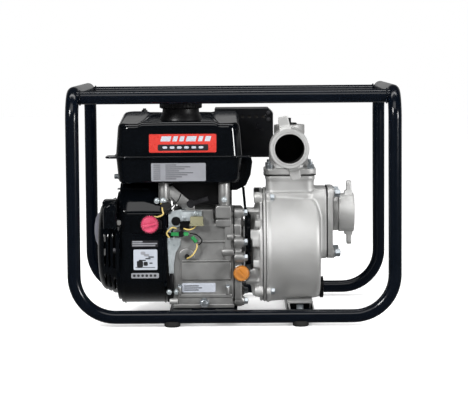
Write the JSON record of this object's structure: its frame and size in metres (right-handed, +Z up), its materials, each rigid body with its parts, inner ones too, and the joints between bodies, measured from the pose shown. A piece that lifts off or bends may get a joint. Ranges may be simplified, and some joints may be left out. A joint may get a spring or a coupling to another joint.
{
  "type": "engine driven water pump",
  "caption": "Self-priming water pump on a small petrol engine in a bent tube carrying frame, with lug nuts on its suction and discharge ports.",
  "frame": {"origin": "on the ground below the middle of the tube frame", "axes": "+X along the crankshaft towards the suction port, +Y away from the discharge port, +Z up"},
  "size_m": [0.55, 0.405, 0.3944],
  "materials": {
    "frame_black": "gloss powder coat",
    "gloss_black": "high gloss enamel",
    "heat_black": "satin heat resistant paint",
    "soft_black": "moulded plastic",
    "rubber": "matt",
    "rope": "braided cord",
    "cast_silver": "bead blasted casting",
    "cast_grey": "as cast",
    "steel": "machined",
    "zinc": "bright zinc plate",
    "iron": "as cast",
    "orange_plastic": "moulded plastic",
    "red_plastic": "moulded plastic",
    "label_red": "printed film",
    "label_silver": "printed film",
    "wire_yellow": "wire sleeve",
    "connector_green": "moulded plastic",
    "beige_plastic": "moulded plastic"
  },
  "bodies": {
    "frame": {"frame_loop_left": "frame_black", "frame_loop_right": "frame_black", "top_rail_front": "frame_black", "top_rail_rear": "frame_black", "engine_crossmember_left": "frame_black", "engine_crossmember_right": "frame_black", "pump_crossmember": "frame_black", "pump_bracket": "zinc", "foot_front_left": "rubber", "foot_front_right": "rubber", "foot_rear_left": "rubber", "foot_rear_right": "rubber", "crankcase": "cast_grey", "side_cover": "cast_grey", "crank_bearing_left": "steel", "crank_bearing_right": "steel", "cylinder_head": "cast_grey", "rocker_cover": "cast_silver", "spark_plug": "cast_silver", "plug_cap": "rubber", "blower_shroud": "gloss_black", "recoil_cover": "gloss_black", "tank_upper": "gloss_black", "tank_lower": "gloss_black", "tank_post_left": "cast_silver", "tank_post_right": "cast_silver", "carburettor": "cast_silver", "air_cleaner_base": "soft_black", "air_cleaner_cover": "soft_black", "muffler": "iron", "muffler_guard": "heat_black", "control_plate": "zinc", "pump_adapter": "cast_silver", "pump_casing": "cast_silver", "volute": "iron", "shaft_seal": "soft_black", "suction_gasket": "rubber", "suction_flange": "cast_silver", "discharge_gasket": "rubber", "discharge_elbow": "cast_silver"},
    "rotor": {"crankshaft": "steel", "flywheel": "cast_silver", "impeller": "iron"},
    "camshaft": {"camshaft": "steel"},
    "starter_pulley": {"starter_pulley": "soft_black"},
    "starter_grip": {"starter_grip": "soft_black", "starter_rope": "rope"},
    "fuel_cap": {"fuel_cap": "soft_black"},
    "dipstick": {"dipstick": "orange_plastic"},
    "switch_knob": {"switch_knob": "red_plastic"},
    "choke_lever": {"choke_lever": "soft_black"},
    "fuel_lever": {"fuel_lever": "soft_black"},
    "throttle_lever": {"throttle_lever": "zinc"},
    "governor_arm": {"governor_arm": "zinc"},
    "suction_nut": {"suction_nut": "cast_silver"},
    "discharge_nut": {"discharge_nut": "cast_silver"},
    "priming_plug": {"priming_plug": "soft_black"},
    "drain_plug": {"drain_plug": "soft_black"},
    "flap_valve": {"flap_valve": "rubber"},
    "cleaner_nut": {"cleaner_nut": "soft_black"}
  },
  "joints": [
    {"name": "crank_spin", "type": "hinge", "parent": "frame", "child": "rotor", "pos_m": [0, -0.07, 0.123], "axis": [1, 0, 0], "continuous": true},
    {"name": "cam_spin", "type": "hinge", "parent": "frame", "child": "camshaft", "pos_m": [0, -0.07, 0.069], "axis": [1, 0, 0], "continuous": true},
    {"name": "starter_pulley_spin", "type": "hinge", "parent": "frame", "child": "starter_pulley", "pos_m": [0, -0.07, 0.123], "axis": [1, 0, 0], "range_deg": [0, 480]},
    {"name": "starter_pull", "type": "slide", "parent": "frame", "child": "starter_grip", "axis": [0, -1, 0], "range_m": [0, 0.5], "stiffness_N_per_m": 20, "springref_m": -0.2, "deforming": ["starter_rope"]},
    {"name": "fuel_cap_turn", "type": "hinge", "parent": "frame", "child": "fuel_cap", "pos_m": [-0.0886, -0.1, 0.35], "axis": [0, 0, 1], "range_deg": [0, 90]},
    {"name": "dipstick_turn", "type": "hinge", "parent": "frame", "child": "dipstick", "pos_m": [0.0114, -0.15, 0.0828], "axis": [0, -1, 0], "continuous": true},
    {"name": "switch_turn", "type": "hinge", "parent": "frame", "child": "switch_knob", "pos_m": [-0.14, -0.16, 0.1666], "axis": [0, -1, 0], "range_deg": [0, 60]},
    {"name": "choke_turn", "type": "hinge", "parent": "frame", "child": "choke_lever", "pos_m": [-0.166, 0.07, 0.227], "axis": [1, 0, 0], "range_deg": [0, 40]},
    {"name": "fuel_valve_turn", "type": "hinge", "parent": "frame", "child": "fuel_lever", "pos_m": [-0.165, 0.07, 0.209], "axis": [1, 0, 0], "range_deg": [-60, 0]},
    {"name": "throttle_turn", "type": "hinge", "parent": "frame", "child": "throttle_lever", "pos_m": [-0.072, -0.145, 0.199], "axis": [0, -1, 0], "range_deg": [0, 50]},
    {"name": "governor_turn", "type": "hinge", "parent": "frame", "child": "governor_arm", "pos_m": [-0.088, -0.092, 0.2], "axis": [0, 0, 1], "range_deg": [0, 20]},
    {"name": "suction_nut_turn", "type": "hinge", "parent": "frame", "child": "suction_nut", "pos_m": [0.19, -0.07, 0.1768], "axis": [1, 0, 0], "continuous": true},
    {"name": "discharge_nut_turn", "type": "hinge", "parent": "frame", "child": "discharge_nut", "pos_m": [0.0924, -0.15, 0.2905], "axis": [0, -1, 0], "continuous": true},
    {"name": "priming_plug_turn", "type": "hinge", "parent": "frame", "child": "priming_plug", "pos_m": [0.094, -0.07, 0.325], "axis": [0, 0, 1], "continuous": true},
    {"name": "drain_plug_turn", "type": "hinge", "parent": "frame", "child": "drain_plug", "pos_m": [0.148, -0.07, 0.049], "axis": [1, 0, 0], "continuous": true},
    {"name": "flap_valve_swing", "type": "hinge", "parent": "frame", "child": "flap_valve", "pos_m": [0.1475, -0.07, 0.2068], "axis": [0, 1, 0], "range_deg": [0, 45]},
    {"name": "cleaner_nut_turn", "type": "hinge", "parent": "frame", "child": "cleaner_nut", "pos_m": [-0.16, 0.099, 0.345], "axis": [0, 0, 1], "continuous": true}
  ],
  "couplings": [
    {"joint": "cam_spin", "follows": "crank_spin", "ratio": -0.5},
    {"joint": "starter_pulley_spin", "follows": "starter_pull", "rad_per_m": 16.667},
    {"joint": "governor_turn", "follows": "throttle_turn", "ratio": 0.4}
  ]
}
